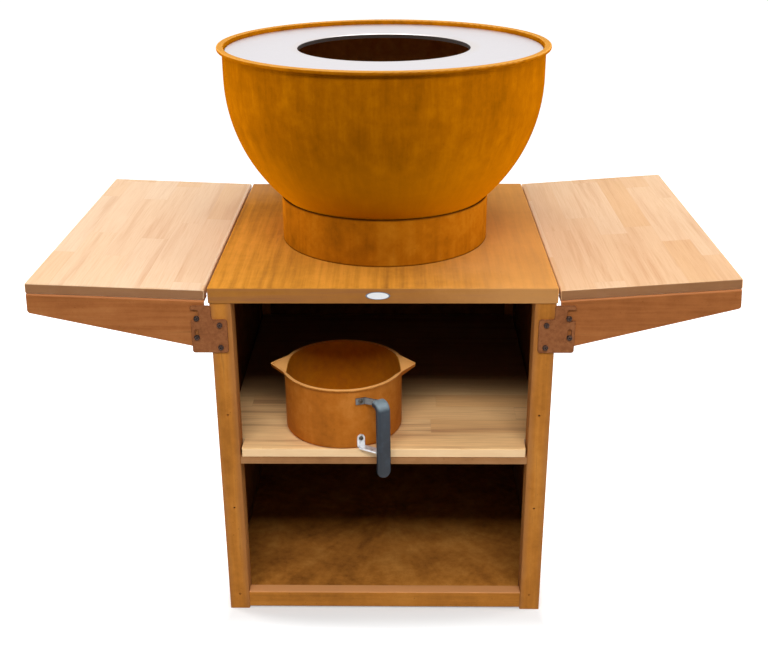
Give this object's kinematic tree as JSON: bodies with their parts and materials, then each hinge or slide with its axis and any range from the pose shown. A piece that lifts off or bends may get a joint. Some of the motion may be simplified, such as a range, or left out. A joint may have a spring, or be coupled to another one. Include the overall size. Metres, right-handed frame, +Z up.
{
  "type": "outdoor kitchen",
  "caption": "Rusted steel cabinet with an open wooden shelf, a fire bowl with a ring-shaped cooking plate on top, side tables that lift and fold down, and a steel pot.",
  "frame": {"origin": "on the ground under the middle of the cabinet", "axes": "+X to the cabinet's right as seen from its open front, +Y to its back, +Z up"},
  "size_m": [1.2263, 0.6976, 1.0307],
  "materials": {
    "cabinet_steel": "weathering steel, brown rust",
    "bracket_steel": "weathering steel, red-brown rust",
    "bowl_steel": "weathering steel, orange rust",
    "pot_steel": "rust-brown steel",
    "table_wood": "oiled, edge-glued staves",
    "shelf_wood": "oiled, edge-glued staves",
    "plate_steel": "bare ground steel",
    "fastener_steel": "dark, lightly rusted",
    "handle_steel": "bright",
    "grip_plastic": "satin grey",
    "badge_plate": "blank white"
  },
  "bodies": {
    "cabinet": {"top_panel": "cabinet_steel", "left_side_panel": "cabinet_steel", "right_side_panel": "cabinet_steel", "left_front_stile": "cabinet_steel", "right_front_stile": "cabinet_steel", "left_rear_stile": "cabinet_steel", "right_rear_stile": "cabinet_steel", "back_panel": "cabinet_steel", "floor_pan": "cabinet_steel", "front_rail": "cabinet_steel", "shelf_tray": "cabinet_steel", "left_shelf_angle": "cabinet_steel", "right_shelf_angle": "cabinet_steel", "front_left_bracket": "bracket_steel", "front_right_bracket": "bracket_steel", "rear_left_bracket": "bracket_steel", "rear_right_bracket": "bracket_steel", "base_ring": "bowl_steel", "shelf_board": "shelf_wood", "badge_plate": "badge_plate", "back_screws": "fastener_steel", "shelf_rivets": "fastener_steel", "bracket_bolts": "fastener_steel", "bracket_nuts": "fastener_steel"},
    "right_pivot": {"right_pivot_bolts": "fastener_steel", "right_pivot_nuts": "fastener_steel"},
    "right_table": {"right_board": "table_wood", "right_front_arm": "bracket_steel", "right_rear_arm": "bracket_steel", "right_board_screws": "fastener_steel", "right_latch_bolts": "fastener_steel", "right_latch_nuts": "fastener_steel"},
    "left_pivot": {"left_pivot_bolts": "fastener_steel", "left_pivot_nuts": "fastener_steel"},
    "left_table": {"left_board": "table_wood", "left_front_arm": "bracket_steel", "left_rear_arm": "bracket_steel", "left_board_screws": "fastener_steel", "left_latch_bolts": "fastener_steel", "left_latch_nuts": "fastener_steel"},
    "bowl": {"bowl_shell": "bowl_steel", "plate_rests": "bowl_steel"},
    "cooking_plate": {"cooking_plate": "plate_steel"},
    "pot": {"pot_body": "pot_steel", "pot_strap": "handle_steel", "pot_grip": "grip_plastic", "pot_strut": "handle_steel", "strap_rivet": "handle_steel", "strut_rivets": "handle_steel"}
  },
  "joints": [
    {"name": "right_lift", "type": "slide", "parent": "cabinet", "child": "right_pivot", "axis": [0, 0, 1], "range_m": [0, 0.012]},
    {"name": "right_fold", "type": "hinge", "parent": "right_pivot", "child": "right_table", "pos_m": [0.3224, 0, 0.5745], "axis": [0, 1, 0], "range_deg": [0, 98]},
    {"name": "left_lift", "type": "slide", "parent": "cabinet", "child": "left_pivot", "axis": [0, 0, 1], "range_m": [0, 0.012]},
    {"name": "left_fold", "type": "hinge", "parent": "left_pivot", "child": "left_table", "pos_m": [-0.3224, 0, 0.5745], "axis": [0, -1, 0], "range_deg": [0, 98]},
    {"name": "bowl_lift", "type": "slide", "parent": "cabinet", "child": "bowl", "axis": [0, 0, 1], "range_m": [0, 0.25]},
    {"name": "plate_lift", "type": "slide", "parent": "bowl", "child": "cooking_plate", "axis": [0, 0, 1], "range_m": [0, 0.1]},
    {"name": "pot_slide", "type": "slide", "parent": "cabinet", "child": "pot", "axis": [0, -1, 0], "range_m": [0, 0.26]}
  ]
}
